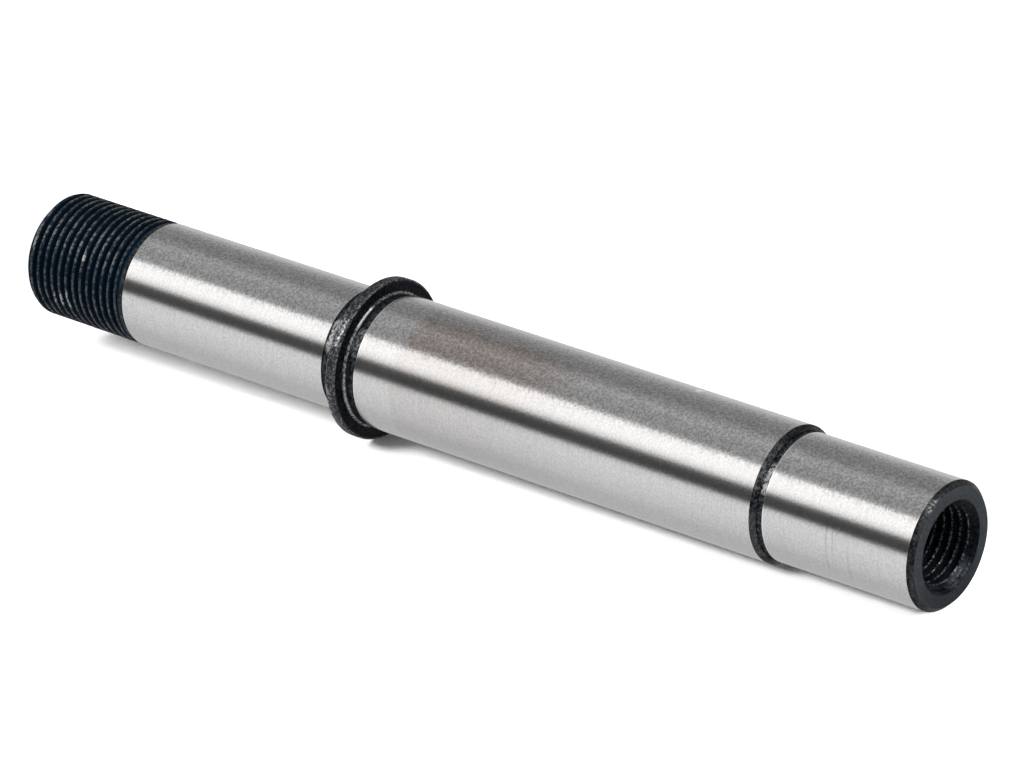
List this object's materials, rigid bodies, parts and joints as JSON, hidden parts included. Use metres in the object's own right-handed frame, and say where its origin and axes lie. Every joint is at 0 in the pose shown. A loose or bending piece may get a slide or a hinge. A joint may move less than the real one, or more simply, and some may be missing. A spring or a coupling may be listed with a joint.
{
  "type": "bmx hub axle",
  "caption": "Turned steel hub axle: a black collar between ground bearing journals, a fine thread on the lower end and a countersunk, tapped bore in the ends.",
  "frame": {"origin": "centre of the threaded end's face, which is the lowest point", "axes": "+Z along the axle, from the threaded end up to the end that takes the axle bolt"},
  "size_m": [0.018, 0.018, 0.1213],
  "materials": {
    "steel": "ground bright journals, black oxide on the threads, collar, necks and ends"
  },
  "bodies": {
    "root": {"axle": "steel"}
  },
  "joints": []
}
